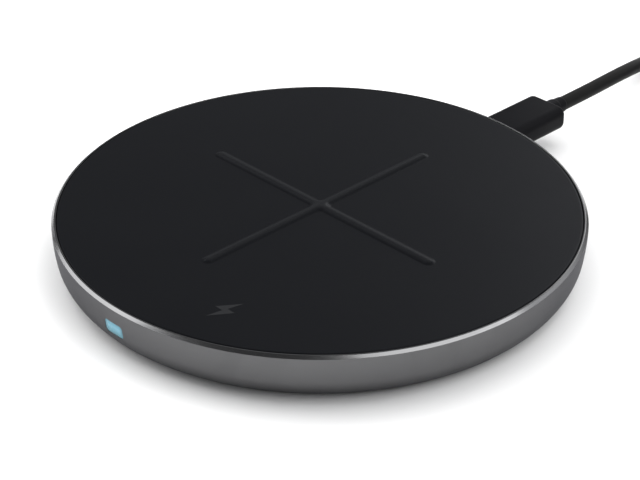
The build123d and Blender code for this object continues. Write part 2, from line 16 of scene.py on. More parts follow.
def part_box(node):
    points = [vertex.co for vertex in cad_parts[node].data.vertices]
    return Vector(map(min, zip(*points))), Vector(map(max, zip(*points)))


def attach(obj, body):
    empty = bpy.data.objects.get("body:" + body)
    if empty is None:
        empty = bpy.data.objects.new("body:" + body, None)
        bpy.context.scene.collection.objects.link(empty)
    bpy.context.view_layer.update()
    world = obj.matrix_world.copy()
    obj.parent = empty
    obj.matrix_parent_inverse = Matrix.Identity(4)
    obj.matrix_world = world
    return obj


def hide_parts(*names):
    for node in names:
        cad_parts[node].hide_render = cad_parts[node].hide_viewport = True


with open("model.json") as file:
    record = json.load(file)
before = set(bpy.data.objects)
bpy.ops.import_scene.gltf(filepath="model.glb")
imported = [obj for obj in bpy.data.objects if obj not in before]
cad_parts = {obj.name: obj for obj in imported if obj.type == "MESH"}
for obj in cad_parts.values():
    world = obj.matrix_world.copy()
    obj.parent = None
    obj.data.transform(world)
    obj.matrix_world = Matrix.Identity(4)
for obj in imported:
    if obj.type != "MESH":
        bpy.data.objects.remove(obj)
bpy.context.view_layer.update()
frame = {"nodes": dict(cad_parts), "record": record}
MM = 0.001

# %% [markdown]
# ## Camera
# A product shot is taken with a long lens from well above the table, so that the round top reads as a
# calm ellipse. The camera stands on a sphere round the middle of the top. It is turned one degree
# further down than straight at that point, which sets the pad's height in the frame without a shift.

# %% Place the camera
top_centre = Vector((0, 0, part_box("aluminium_housing")[1].z))
CAMERA_AZIMUTH = math.radians(45.9)
CAMERA_ELEVATION = math.radians(30.12)
CAMERA_PITCH = math.radians(31.13)
CAMERA_DISTANCE = 0.365


def studio_direction(azimuth, elevation):
    """Unit vector from the pad towards a point seen at this azimuth and elevation."""
    level = math.cos(elevation)
    return Vector((math.sin(azimuth) * level, -math.cos(azimuth) * level, math.sin(elevation)))


camera_data = bpy.data.cameras.new("camera")
camera_data.lens = 109.7
camera_data.sensor_width = 36
camera_data.clip_start = 0.01
camera = bpy.data.objects.new("camera", camera_data)
camera.location = top_centre + studio_direction(CAMERA_AZIMUTH, CAMERA_ELEVATION) * CAMERA_DISTANCE
camera.rotation_euler = (math.pi / 2 - CAMERA_PITCH, 0, CAMERA_AZIMUTH)
bpy.context.collection.objects.link(camera)
bpy.context.scene.camera = camera
print("camera at", [round(x / MM, 1) for x in camera.location], "mm")

# %% [markdown]
# ## Cord
# The lead's cord is a fixed length of something flexible. It leaves the plug straight, sinks to the
# table, and the spare length is wound into a small neat coil that a strap holds. Then it climbs into
# the far plug. It could be a tube of mesh rings, but a NURBS curve stays smooth with few points and
# bends as rubber does. One curve carries all of it: listed points for the free stretches and a
# loop for the turns. A bevel on the curve gives the jacket its thickness. Blender adds each point's
# radius to a curve's box, so the points carry the real radius and the bevel is one metre deep.

# %% Points of the first free stretch
CORD_RADIUS = 1.5 * MM
COIL_CENTRE = Vector((0.0146, 0.1310, 0))
cord_route = [
    Vector((0.0, 0.0705, 0.00625)),
    Vector((0.0, 0.0790, 0.00625)),
    Vector((-0.0005, 0.0880, 0.0061)),
    Vector((-0.0013, 0.0960, 0.0055)),
    Vector((-0.0039, 0.1045, 0.0032)),
    Vector((-0.0065, 0.1130, 0.0015)),
    Vector((-0.0065, 0.1185, 0.0015)),
]
print("first stretch:", len(cord_route), "points")

# %% Points of the coil
# Each turn fills one of nine places, three wide and three high, and then eases across to the next
PITCH = 3.1 * MM
TURN_RADIUS = 18 * MM
INNER, MIDDLE, OUTER = (TURN_RADIUS + step * PITCH for step in (-1, 0, 1))
LOW, CENTRE, HIGH = (CORD_RADIUS + step * PITCH for step in (0, 1, 2))
turn_places = [
    (OUTER, LOW),
    (MIDDLE, LOW),
    (INNER, LOW),
    (INNER, CENTRE),
    (INNER, HIGH),
    (MIDDLE, HIGH),
    (MIDDLE, CENTRE),
    (OUTER, CENTRE),
    (OUTER, HIGH),
]
ENTER_ANGLE = 180
LEAVE_ANGLE = 15
SWEEP = 7 * 360 + ENTER_ANGLE - LEAVE_ANGLE
EASE = 40
HOLD = (SWEEP - (len(turn_places) - 1) * EASE) / len(turn_places)
POINTS_PER_TURN = 24
TIE_ANGLE = 90
TIE_LIFT = 0.65 * MM
TIE_SPREAD = 40


def smooth_step(x):
    """0 below 0, 1 above 1, and an even S between them."""
    x = min(max(x, 0.0), 1.0)
    return x * x * (3 - 2 * x)


def coil_point(swept):
    """Where the cord is after this many degrees in the coil."""
    index = min(int(swept // (HOLD + EASE)), len(turn_places) - 1)
    here = turn_places[index]
    there = turn_places[min(index + 1, len(turn_places) - 1)]
    share = smooth_step((swept - index * (HOLD + EASE) - HOLD) / EASE)
    radius = here[0] + (there[0] - here[0]) * share
    height = here[1] + (there[1] - here[1]) * share
    angle = ENTER_ANGLE - swept
    off_tie = abs((angle - TIE_ANGLE + 180) % 360 - 180)
    height += TIE_LIFT * smooth_step(1.6 - off_tie / TIE_SPREAD)
    # A curve of order 3 runs inside its points, so they stand out by this much
    radius /= math.cos(math.pi / POINTS_PER_TURN)
    turn = math.radians(angle)
    return COIL_CENTRE + Vector((radius * math.cos(turn), radius * math.sin(turn), height))


steps = round(SWEEP / 360 * POINTS_PER_TURN)
coil_points = [coil_point(SWEEP * step / steps) for step in range(steps + 1)]
print("coil:", len(coil_points), "points in", round(SWEEP / 360, 1), "turns")

# %% Points from the coil to the far plug
STUB_LENGTH = 12.5 * MM
leave_turn = math.radians(LEAVE_ANGLE)
leave_direction = Vector((math.sin(leave_turn), -math.cos(leave_turn), -0.1)).normalized()
leave_point = COIL_CENTRE + Vector((OUTER * math.cos(leave_turn), OUTER * math.sin(leave_turn), HIGH))
tail_start = leave_point + leave_direction * STUB_LENGTH
tail_route = [
    tail_start,
    tail_start + leave_direction * 6.2 * MM,
    Vector((0.0415, 0.1085, 0.0040)),
    Vector((0.0415, 0.1030, 0.0040)),
]
print("last stretch:", len(tail_route), "points")

# %% Make the cord
cord_points = cord_route + coil_points + tail_route
curve = bpy.data.curves.new("lead_cord", "CURVE")
curve.dimensions = "3D"
curve.bevel_depth = 1.0
curve.bevel_resolution = 6
curve.resolution_u = 8
curve.use_fill_caps = True
spline = curve.splines.new("NURBS")
spline.points.add(len(cord_points) - 1)
for point, spot in zip(spline.points, cord_points):
    point.co = (*spot, 1)
    point.radius = CORD_RADIUS
spline.order_u = 3
spline.use_endpoint_u = True
lead_cord = bpy.data.objects.new("lead_cord", curve)
bpy.context.collection.objects.link(lead_cord)
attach(lead_cord, "cable")
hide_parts("cord", "cord_coil", "cord_tail")
print("cord:", len(spline.points), "points on one spline")

# %% [markdown]
# ## Floor
# The pad stands on a round sheet of plain white paper. A large floor would turn grey far from the
# lights and show its edge in low views, so this one ends where it is still bright. The plain view
# transform keeps its white as white and the black skin as dark as its numbers say.

# %% Lay the floor
scene = bpy.context.scene
scene.view_settings.view_transform = "Standard"
FLOOR_RADIUS = 0.42
FLOOR_SIDES = 96
floor_points = []
for k in range(FLOOR_SIDES):
    angle = math.tau * k / FLOOR_SIDES
    floor_points.append((FLOOR_RADIUS * math.cos(angle), FLOOR_RADIUS * math.sin(angle), 0))
floor_mesh = bpy.data.meshes.new("studio_floor")
floor_mesh.from_pydata(floor_points, [], [tuple(range(FLOOR_SIDES))])
floor = bpy.data.objects.new("studio_floor", floor_mesh)
bpy.context.collection.objects.link(floor)

table_paper = bpy.data.materials.new("table_paper")
table_paper.use_nodes = True
paper = table_paper.node_tree.nodes["Principled BSDF"]
paper.inputs["Base Color"].default_value = (0.9, 0.9, 0.9, 1)
paper.inputs["Roughness"].default_value = 0.9
paper.inputs["Specular IOR Level"].default_value = 0.1
floor_mesh.materials.append(table_paper)
print("floor", 2 * FLOOR_RADIUS, "m across")

# %% [markdown]
# ## Sky
# The sky fills what the soft boxes leave dark. It is brightest in a band above the horizon, which
# lights the wall, and dim overhead, so that the black top stays black. It is also dim behind the pad
# and on the camera's side: a skin seen at a low angle mirrors what is behind it, and the shadow under
# the rim needs a dark front. A picture of a real studio could do the same, but a few nodes are easier
# to turn and to tune. Each band is one Map Range node on the direction, and their product is the
# strength. The camera itself sees plain white instead, through the Light Path node.

# %% Helper for nodes
def place(tree, kind, inputs=(), **settings):
    """Add one node. An input that gets a socket is linked to it; any other value is set."""
    node = tree.nodes.new(kind)
    for name, value in settings.items():
        setattr(node, name, value)
    for name, value in dict(inputs).items():
        if isinstance(value, bpy.types.NodeSocket):
            tree.links.new(value, node.inputs[name])
        else:
            node.inputs[name].default_value = value
    return node


def smooth_range(tree, value, start, end, low, high):
    """A value that runs softly from low at start to high at end, and stays level outside them."""
    limits = {"From Min": start, "From Max": end, "To Min": low, "To Max": high}
    node = place(tree, "ShaderNodeMapRange", {"Value": value, **limits}, interpolation_type="SMOOTHSTEP")
    return node.outputs["Result"]


def calculate(tree, operation, first, second=0.0):
    """The result of one Math node."""
    return place(tree, "ShaderNodeMath", {0: first, 1: second}, operation=operation).outputs[0]


def facing(tree, direction, axis):
    """How far a direction points along an axis, from -1 to 1."""
    node = place(tree, "ShaderNodeVectorMath", {0: direction, 1: axis}, operation="DOT_PRODUCT")
    return node.outputs["Value"]


print("node helpers defined")

# %% Paint the sky
to_right = Vector((math.cos(CAMERA_AZIMUTH), math.sin(CAMERA_AZIMUTH), 0))
to_back = Vector((-math.sin(CAMERA_AZIMUTH), math.cos(CAMERA_AZIMUTH), 0))
world = bpy.data.worlds.new("studio_sky")
scene.world = world
world.use_nodes = True
sky = world.node_tree
direction = place(sky, "ShaderNodeTexCoord").outputs["Generated"]
height = place(sky, "ShaderNodeSeparateXYZ", {"Vector": direction}).outputs["Z"]
upper_edge = smooth_range(sky, height, 0.45, 0.72, 1.0, 0.10)
lower_edge = smooth_range(sky, height, 0.0, 0.35, 0.25, 0.9)
low_band = calculate(sky, "MULTIPLY", upper_edge, lower_edge)
# The studio is darkest behind the pad, a little to the left, apart from a glow along the horizon
back_glow = smooth_range(sky, height, 0.08, 0.30, 0.45, 0.22)
to_dark_side = to_back * 0.8 - to_right * 0.6
round_band = smooth_range(sky, facing(sky, direction, to_dark_side), 0.2, 0.85, 1.0, back_glow)
# It is also dimmer on the camera's side, so that the shadow under the rim stays deep
front_band = smooth_range(sky, facing(sky, direction, -to_back), 0.3, 1.0, 1.0, 0.35)
bands = calculate(sky, "MULTIPLY", round_band, front_band)
glow = calculate(sky, "MULTIPLY", low_band, bands)
# Beyond the table the studio looks white, but it lights the scene less than that
seen = place(sky, "ShaderNodeLightPath").outputs["Is Camera Ray"]
strength = place(sky, "ShaderNodeMix", {0: seen, 2: glow, 3: 1.15})
sky.links.new(strength.outputs[0], sky.nodes["Background"].inputs["Strength"])
sky.nodes["Background"].inputs["Color"].default_value = (0.97, 0.98, 1.0, 1)
print("sky:", len(sky.nodes), "nodes")

# %% [markdown]
# ## Soft boxes
# Area lights have soft edges, where a spot light would leave hard ones on metal. Three of them are
# mirrored in the metal: a wide one high in front on the right and one on the left draw the two long
# bright arcs on the rim, with a calm dark stretch between, and a small one behind adds the glint at
# the back. A box over a table also lays a broad grey veil on a black top. The three that only
# brighten the scene are therefore hidden from glossy rays. All are placed from the camera's azimuth,
# as a photographer would move them with the camera.

# %% Hang the soft boxes
def soft_box(name, right, back, up, width, height, watts, mirrored=True):
    """A soft box at this place, in metres from the pad, that faces the pad."""
    lamp = bpy.data.lights.new(name, "AREA")
    lamp.shape = "RECTANGLE"
    lamp.size = width
    lamp.size_y = height
    lamp.energy = watts
    box = bpy.data.objects.new(name, lamp)
    offset = to_right * right + to_back * back + Vector((0, 0, up))
    box.location = top_centre + offset
    box.rotation_euler = (-offset).to_track_quat("-Z", "Y").to_euler()
    box.visible_camera = False
    box.visible_glossy = mirrored
    bpy.context.collection.objects.link(box)
    print("soft box", name, watts, "W at", [round(x, 2) for x in box.location], "m")


soft_box("right_front_box", 0.55, -0.30, 0.77, 0.95, 0.85, 4.5)
soft_box("left_back_box", -0.82, 0.25, 0.50, 0.80, 0.80, 3.6)
soft_box("right_back_box", 0.36, 0.86, 0.45, 0.36, 0.50, 0.55)
soft_box("overhead_box", 0.0, 0.34, 0.94, 1.2, 1.2, 10.0, mirrored=False)
soft_box("left_fill", -0.70, 0.50, 0.55, 0.80, 0.60, 5.0, mirrored=False)
soft_box("right_fill", 0.75, 0.45, 0.60, 0.80, 0.60, 3.0, mirrored=False)

# %% [markdown]
# ## Surface effects that several finishes share
# Real surfaces are never one flat colour. A fine grain breaks up the reflections, slow clouds of shade
# and gloss come from the making and from hands, and edges rub a little lighter. The same paler edges,
# set strong, paint a highlight along the plug's rounded edges. These effects could be painted textures,
# but noise nodes need no pictures and stay sharp at any distance. Each effect is a node group with its
# own inputs, so a finish sets its own size and strength. The groups give out only values, and each
# finish keeps its own Principled shader.

# %% Fine grain
def new_group(name, inputs, outputs):
    """An empty shader group with these float inputs, given as {name: default}, and float outputs."""
    group = bpy.data.node_groups.new(name, "ShaderNodeTree")
    for label, value in inputs.items():
        socket = group.interface.new_socket(label, in_out="INPUT", socket_type="NodeSocketFloat")
        socket.default_value = value
    for label in outputs:
        group.interface.new_socket(label, in_out="OUTPUT", socket_type="NodeSocketFloat")
    return group, group.nodes.new("NodeGroupInput").outputs, group.nodes.new("NodeGroupOutput").inputs


grain_group, grain_in, grain_out = new_group(
    "fine_grain", {"Per Metre": 4000.0, "Pebbles": 0.3}, ["Height"]
)
coordinates = place(grain_group, "ShaderNodeTexCoord").outputs["Object"]
fine = place(
    grain_group,
    "ShaderNodeTexNoise",
    {"Vector": coordinates, "Scale": grain_in["Per Metre"], "Detail": 3.0, "Roughness": 0.6},
)
pebbles = place(
    grain_group,
    "ShaderNodeTexVoronoi",
    {"Vector": coordinates, "Scale": grain_in["Per Metre"], "Smoothness": 0.4},
    feature="SMOOTH_F1",
)
pebble_height = calculate(grain_group, "SUBTRACT", 1.0, pebbles.outputs["Distance"])
pebble_share = calculate(grain_group, "MULTIPLY", pebble_height, grain_in["Pebbles"])
fine_share = calculate(
    grain_group, "MULTIPLY", fine.outputs[0], calculate(grain_group, "SUBTRACT", 1.0, grain_in["Pebbles"])
)
grain_group.links.new(calculate(grain_group, "ADD", pebble_share, fine_share), grain_out["Height"])
print("group", grain_group.name)

# %% Clouds of shade and gloss
clouds_group, clouds_in, clouds_out = new_group("handled_clouds", {"Per Metre": 60.0}, ["Clouds", "Smears"])
coordinates = place(clouds_group, "ShaderNodeTexCoord").outputs["Object"]
clouds = place(
    clouds_group,
    "ShaderNodeTexNoise",
    {"Vector": coordinates, "Scale": clouds_in["Per Metre"], "Detail": 4.0, "Distortion": 0.6},
)
spread = smooth_range(clouds_group, clouds.outputs[0], 0.3, 0.7, 0.0, 1.0)
clouds_group.links.new(spread, clouds_out["Clouds"])
stretched = place(
    clouds_group, "ShaderNodeMapping", {"Vector": coordinates, "Rotation": (0, 0, 0.6), "Scale": (1, 4, 1)}
)
smears = place(
    clouds_group,
    "ShaderNodeTexNoise",
    {
        "Vector": stretched.outputs[0],
        "Scale": calculate(clouds_group, "MULTIPLY", clouds_in["Per Metre"], 0.7),
        "Detail": 2.0,
        "Distortion": 1.5,
    },
)
wiped = smooth_range(clouds_group, smears.outputs[0], 0.52, 0.7, 0.0, 1.0)
clouds_group.links.new(wiped, clouds_out["Smears"])
print("group", clouds_group.name)

# %% Worn edges and a painted edge highlight
# Edges paler by pointiness: worn edges on most finishes, a painted highlight on the plug's
wear_and_highlight_group, wear_and_highlight_in, wear_and_highlight_out = new_group("edge_wear_and_highlight", {"Start": 0.52, "End": 0.62}, ["Mask"])
pointed = place(wear_and_highlight_group, "ShaderNodeNewGeometry").outputs["Pointiness"]
edge = smooth_range(wear_and_highlight_group, pointed, wear_and_highlight_in["Start"], wear_and_highlight_in["End"], 0.0, 1.0)
coordinates = place(wear_and_highlight_group, "ShaderNodeTexCoord").outputs["Object"]
patches = place(
    wear_and_highlight_group, "ShaderNodeTexNoise", {"Vector": coordinates, "Scale": 700.0, "Detail": 3.0}
).outputs[0]
wear_and_highlight_group.links.new(calculate(wear_and_highlight_group, "MULTIPLY", edge, patches), wear_and_highlight_out["Mask"])
print("group", wear_and_highlight_group.name)

# %% [markdown]
# ## Finishes
# Most of the parts are moulded plastic, rubber, plated metal or film. One recipe serves them all: two
# close colours mixed by the clouds, a lighter tone on edges, worn on most finishes and a painted
# highlight on the plug, a roughness that wanders between two values, and a fine bump from the grain.
# What differs is its numbers, which are set per finish.

# %% Helpers for finishes
def group_node(tree, group, **inputs):
    """Place a shared effect in a material, with its own values."""
    node = tree.nodes.new("ShaderNodeGroup")
    node.node_tree = group
    for label, value in inputs.items():
        node.inputs[label.replace("_", " ")].default_value = value
    return node.outputs


def mix_colours(tree, factor, first, second):
    """One colour changing into another, as a socket."""
    node = place(tree, "ShaderNodeMix", {0: factor, 6: first, 7: second}, data_type="RGBA")
    return node.outputs[2]


def rgb(red, green=None, blue=None):
    """A linear colour with full alpha; one number alone is a grey."""
    return (red, red if green is None else green, red if blue is None else blue, 1)


def object_parts(tree):
    """The X, Y and Z sockets of the object's own coordinates, in metres."""
    position = place(tree, "ShaderNodeTexCoord").outputs["Object"]
    return place(tree, "ShaderNodeSeparateXYZ", {"Vector": position}).outputs


def between(tree, factor, low, high):
    """A value that runs from low to high as the factor runs from 0 to 1."""
    return place(tree, "ShaderNodeMapRange", {"Value": factor, "To Min": low, "To Max": high}).outputs[0]


print("finish helpers defined")

# %% One recipe for a finish
finishes = {}


def finish(
    slot, dark, light, rough, metal=0.0, grain=5000.0, pebbles=0.2, depth=0.01, clouds=60.0,
    wear_and_highlight=0.0, specular=0.5,
):
    """A finish from the shared effects. depth is the grain's height in mm.

    Gives back the parts that some finishes build on: node tree, shader, bump node and colour.
    """
    material = bpy.data.materials.new(slot)
    material.use_nodes = True
    tree = material.node_tree
    shader = tree.nodes["Principled BSDF"]
    shader.inputs["Metallic"].default_value = metal
    shader.inputs["Specular IOR Level"].default_value = specular
    grains = group_node(tree, grain_group, Per_Metre=grain, Pebbles=pebbles)
    shades = group_node(tree, clouds_group, Per_Metre=clouds)
    colour = mix_colours(tree, shades["Clouds"], dark, light)
    # A paler tone on the edges: worn edges, and with a large value a painted highlight
    if wear_and_highlight:
        wear_and_highlight_mask = group_node(tree, wear_and_highlight_group)["Mask"]
        paler = rgb(*[min(1, channel * (1 + wear_and_highlight)) for channel in light[:3]])
        colour = mix_colours(tree, wear_and_highlight_mask, colour, paler)
    tree.links.new(colour, shader.inputs["Base Color"])
    tree.links.new(between(tree, shades["Smears"], rough[0], rough[1]), shader.inputs["Roughness"])
    bump = place(
        tree, "ShaderNodeBump", {"Height": grains["Height"], "Strength": 0.6, "Distance": depth * MM}
    )
    tree.links.new(bump.outputs["Normal"], shader.inputs["Normal"])
    finishes[slot] = material
    return tree, shader, bump, colour


print("recipe ready")

# %% Plain moulded, plated and rubber finishes
finish(
    "base_plastic", rgb(0.016), rgb(0.021), (0.55, 0.68), grain=3500, pebbles=0.5, depth=0.03, wear_and_highlight=0.8
)
finish("foot_rubber", rgb(0.012), rgb(0.017), (0.75, 0.85), grain=6000, depth=0.01, specular=0.3)
finish("inner_plastic", rgb(0.03), rgb(0.04), (0.5, 0.6), grain=3000, wear_and_highlight=0.5)
finish("adhesive_film", rgb(0.62, 0.58, 0.45), rgb(0.7, 0.67, 0.55), (0.3, 0.5), grain=2000, depth=0.004)
finish("ferrite", rgb(0.035, 0.034, 0.033), rgb(0.05, 0.048, 0.046), (0.35, 0.5), grain=9000, depth=0.006)
finish("component_black", rgb(0.014), rgb(0.022), (0.45, 0.6), grain=8000, wear_and_highlight=0.6)
finish("capacitor_ceramic", rgb(0.30, 0.21, 0.12), rgb(0.38, 0.27, 0.16), (0.3, 0.45), grain=7000)
finish("connector_black", rgb(0.012), rgb(0.018), (0.3, 0.42), grain=5000, depth=0.004)
finish("usb_a_plastic", rgb(0.72), rgb(0.8), (0.35, 0.5), grain=4000, depth=0.004)
finish("screw_steel", rgb(0.42, 0.42, 0.44), rgb(0.55), (0.25, 0.4), metal=1.0, grain=6000, depth=0.004)
finish("connector_steel", rgb(0.5, 0.5, 0.52), rgb(0.62), (0.2, 0.34), metal=1.0, grain=4000, depth=0.003)
finish("contact_gold", rgb(0.72, 0.48, 0.16), rgb(0.85, 0.62, 0.25), (0.2, 0.3), metal=1.0, grain=6000)
print(len(finishes), "plain finishes")

# %% [markdown]
# ## Plug and jacket plastic
# The plug's body and the cord's jacket are the same soft black compound. It comes satin from the
# mould. The long soft highlight along each rounded edge of the plug is painted: the recipe's edge mask,
# set very strong here, makes the base colour paler along those edges. The jacket is drawn rather than
# moulded, so its grain is finer and its gloss higher.

# %% Plug and jacket finishes
# The large edge value paints a pale highlight along the plug's rounded edges
finish(
    "plug_plastic", rgb(0.0055, 0.0056, 0.0066), rgb(0.0066, 0.0067, 0.0078), (0.44, 0.50), grain=5500,
    depth=0.006, wear_and_highlight=5, specular=0.05,
)
finish(
    "cord_jacket", rgb(0.011), rgb(0.013), (0.40, 0.48), grain=7000, depth=0.004, clouds=120, specular=0.05
)
print("finishes", "plug_plastic", "cord_jacket")

# %% [markdown]
# ## Soft skin
# The top is a thin sheet of soft-touch polymer with a very fine pebbled grain. It drinks most of the
# light and gives a faint bluish bloom at a low angle. Two close blacks, an even satin roughness, a fine
# pebble bump and a little sheen give that look without any visible pattern. A mask on the height paints
# the top of the cross a little paler, as a painted highlight along the ridge. The charging mark is the
# same skin in a paler black.

# %% Skin finish
SKIN_GRAIN = {"grain": 3600, "pebbles": 0.7, "depth": 0.012, "clouds": 35, "specular": 0.1}
SKIN_ROUGH = (0.32, 0.34)
RIDGE_HIGHLIGHT_START, RIDGE_HIGHLIGHT_END = 10.2 * MM, 10.5 * MM
tree, shader, _, colour = finish(
    "soft_skin", rgb(0.0046, 0.0048, 0.0057), rgb(0.0050, 0.0052, 0.0061), SKIN_ROUGH, **SKIN_GRAIN
)
height = object_parts(tree)["Z"]
# The top of the ridge is painted paler: a painted highlight, from a mask on the height
ridge_top_highlight = smooth_range(tree, height, RIDGE_HIGHLIGHT_START, RIDGE_HIGHLIGHT_END, 0.0, 1.0)
skin_colour = mix_colours(tree, ridge_top_highlight, colour, rgb(0.0098, 0.0101, 0.0112))
tree.links.new(skin_colour, shader.inputs["Base Color"])
shader.inputs["Specular Tint"].default_value = rgb(0.82, 0.88, 1.0)
shader.inputs["Sheen Weight"].default_value = 0.01
shader.inputs["Sheen Roughness"].default_value = 0.5
shader.inputs["Sheen Tint"].default_value = rgb(0.8, 0.87, 1.0)
finish("skin_mark", rgb(0.016, 0.0165, 0.018), rgb(0.019, 0.0195, 0.021), SKIN_ROUGH, **SKIN_GRAIN)
print("finishes", "soft_skin", "skin_mark")

# %% [markdown]
# ## Anodised aluminium
# The bowl is turned, bead-blasted and anodised grey. Blasting leaves a satin surface whose tiny
# dimples blur every reflection. The rim is cut once more with a diamond tool after anodising, which
# lays the bare metal open as a thin bright line. Blasted metal has no direction, so the shader's
# anisotropy stays off. Both finishes come from the same recipe and differ in colour, gloss and grain.

# %% Blasted wall and cut rim
_, shader, _, _ = finish(
    "housing_aluminium", rgb(0.136, 0.136, 0.139), rgb(0.146, 0.146, 0.149), (0.46, 0.52), metal=1.0,
    grain=7000, pebbles=0.6, depth=0.012, clouds=45,
)
shader.inputs["Specular Tint"].default_value = rgb(0.5, 0.5, 0.52)
finish(
    "rim_cut", rgb(0.27, 0.27, 0.275), rgb(0.30, 0.30, 0.305), (0.20, 0.25), metal=1.0, grain=9000,
    depth=0.002,
)
print("finishes", "housing_aluminium", "rim_cut")

# %% [markdown]
# ## Window light
# A clear light pipe carries a small blue lamp's light to the wall. The glow is brightest a little
# above the middle, where the lamp looks straight through, and sinks to a dark teal towards the edges.
# A lamp behind real glass would render slowly and with noise, so the surface itself gives off the
# light. One ramp on height gives the colour, a second value fades it towards the two ends, and a clear
# coat gives the window its gloss.

# %% Window finish
WINDOW_HALF_WIDTH = 2.35 * MM
WINDOW_LOW, WINDOW_HIGH = 4.15 * MM, 6.85 * MM
GLOW_COLOURS = [
    (0.0, rgb(0.008, 0.045, 0.055)),
    (0.22, rgb(0.06, 0.20, 0.26)),
    (0.62, rgb(0.13, 0.34, 0.45)),
    (0.85, rgb(0.08, 0.26, 0.36)),
    (1.0, rgb(0.04, 0.12, 0.17)),
]
tree, shader, _, _ = finish(
    "window_light", rgb(0.01, 0.07, 0.09), rgb(0.012, 0.08, 0.10), (0.25, 0.35), grain=2500, depth=0.002
)
parts = object_parts(tree)
rise = place(
    tree, "ShaderNodeMapRange", {"Value": parts["Z"], "From Min": WINDOW_LOW, "From Max": WINDOW_HIGH}
).outputs[0]
ramp = place(tree, "ShaderNodeValToRGB", {"Fac": rise})
for _ in GLOW_COLOURS[2:]:
    ramp.color_ramp.elements.new(0.5)
for element, (level, glow_colour) in zip(ramp.color_ramp.elements, GLOW_COLOURS):
    element.position = level
    element.color = glow_colour
sideways = calculate(tree, "ABSOLUTE", parts["X"])
to_end = smooth_range(tree, sideways, 0.55 * WINDOW_HALF_WIDTH, WINDOW_HALF_WIDTH, 0.0, 1.0)
glow_map = mix_colours(tree, to_end, ramp.outputs["Color"], rgb(0.03, 0.11, 0.15))
tree.links.new(glow_map, shader.inputs["Emission Color"])
shader.inputs["Emission Strength"].default_value = 1.0
shader.inputs["Coat Weight"].default_value = 0.3
shader.inputs["Coat Roughness"].default_value = 0.2
print("finish", "window_light")

# %% Lamp behind the window
_, shader, _, _ = finish("led_lens", rgb(0.75, 0.75, 0.7), rgb(0.85, 0.85, 0.8), (0.2, 0.3))
shader.inputs["Emission Color"].default_value = rgb(0.2, 0.7, 1.0)
shader.inputs["Emission Strength"].default_value = 1.5
print("finish", "led_lens")

# %% [markdown]
# ## Inside parts with a pattern of their own
# The charging coil is a flat spiral of stranded copper, the board is green laminate with copper
# tracks under its mask, and the strap is a woven hook-and-loop band. Each has a pattern that a
# formula gives: rings by distance from the middle, a grid of tracks, and an over-and-under weave.

# %% Copper winding
TURN_WIDTH = 0.72 * MM
tree, shader, bump, colour = finish(
    "copper_winding", rgb(0.50, 0.22, 0.10), rgb(0.66, 0.33, 0.16), (0.3, 0.42), metal=1.0, grain=4000,
    clouds=200,
)
parts = object_parts(tree)
flat = place(tree, "ShaderNodeCombineXYZ", {"X": parts["X"], "Y": parts["Y"]}).outputs[0]
radius = place(tree, "ShaderNodeVectorMath", {0: flat}, operation="LENGTH").outputs["Value"]
wave = calculate(tree, "SINE", calculate(tree, "MULTIPLY", radius, math.pi / TURN_WIDTH))
rings = calculate(tree, "ABSOLUTE", wave)
tree.links.new(mix_colours(tree, rings, rgb(0.10, 0.04, 0.02), colour), shader.inputs["Base Color"])
ring_bump = place(
    tree, "ShaderNodeBump", {"Height": rings, "Distance": 0.15 * MM, "Normal": bump.outputs["Normal"]}
)
tree.links.new(ring_bump.outputs["Normal"], shader.inputs["Normal"])
print("finish", "copper_winding")

# %% Board laminate
tree, shader, _, colour = finish(
    "board_laminate", rgb(0.008, 0.05, 0.025), rgb(0.012, 0.07, 0.035), (0.25, 0.38), grain=3000,
    depth=0.006,
)
position = place(tree, "ShaderNodeTexCoord").outputs["Object"]
tracks = place(
    tree, "ShaderNodeTexBrick", {"Vector": position, "Scale": 300.0, "Mortar Size": 0.04}
).outputs["Fac"]
board_colour = mix_colours(tree, tracks, colour, rgb(0.03, 0.14, 0.06))
tree.links.new(board_colour, shader.inputs["Base Color"])
print("finish", "board_laminate")

# %% Woven strap
YARNS_PER_METRE = 1600
tree, shader, bump, colour = finish(
    "tie_strap", rgb(0.012), rgb(0.018), (0.8, 0.9), grain=9000, depth=0.02, specular=0.2
)
parts = object_parts(tree)
lengthways = calculate(tree, "ADD", parts["Y"], parts["Z"])
over = calculate(tree, "SINE", calculate(tree, "MULTIPLY", parts["X"], math.pi * YARNS_PER_METRE))
under = calculate(tree, "SINE", calculate(tree, "MULTIPLY", lengthways, math.pi * YARNS_PER_METRE))
weave = between(tree, calculate(tree, "MULTIPLY", over, under), 0.5, 1.0)
tree.links.new(mix_colours(tree, weave, rgb(0.004), colour), shader.inputs["Base Color"])
yarn_bump = place(
    tree, "ShaderNodeBump", {"Height": weave, "Distance": 0.12 * MM, "Normal": bump.outputs["Normal"]}
)
tree.links.new(yarn_bump.outputs["Normal"], shader.inputs["Normal"])
shader.inputs["Sheen Weight"].default_value = 0.15
print("finish tie_strap,", len(finishes), "finishes in all")

# %% [markdown]
# ## The engineering parts take their finishes
# Every part of the frame is already right in shape, and the record says which material each one has.
# A loop looks the finish up by that name, so the parts inside the pad are finished too. The cells
# after this one replace the outer parts that need finer shapes.

# %% Finish every part of the frame
for part in frame["record"]["subparts"]:
    frame["nodes"][part["node"]].material_slots[0].material = finishes[part["material_slot"]]
curve.materials.append(finishes["cord_jacket"])

# %% [markdown]
# ## Turned housing
# The bowl is one turned piece, so it is drawn once as half a section and swept round the axis: a flat
# land, a 45-degree cut, a wall that leaves the rim straight down and curls in to the base, and the
# ledges inside. A Screw modifier could sweep it too, but the section is worked out in code anyway, so
# that the wall's two arcs join without a kink, and the sweep is then a short loop. The turning tool
# leaves each corner very slightly round, which is what makes a metal edge glint, so every corner is
# eased. The port and the window cross a curved wall, so a Boolean with its exact solver cuts them.

# %% Helpers for pieces
def ring_faces(rings, count, closed):
    """Quads between rings of `count` points each. A closed row of rings joins its last to its first."""
    faces = []
    for ring in range(rings if closed else rings - 1):
        low = ring * count
        high = (ring + 1) % rings * count
        for k in range(count):
            following = (k + 1) % count
            faces.append((low + k, low + following, high + following, high + k))
    return faces


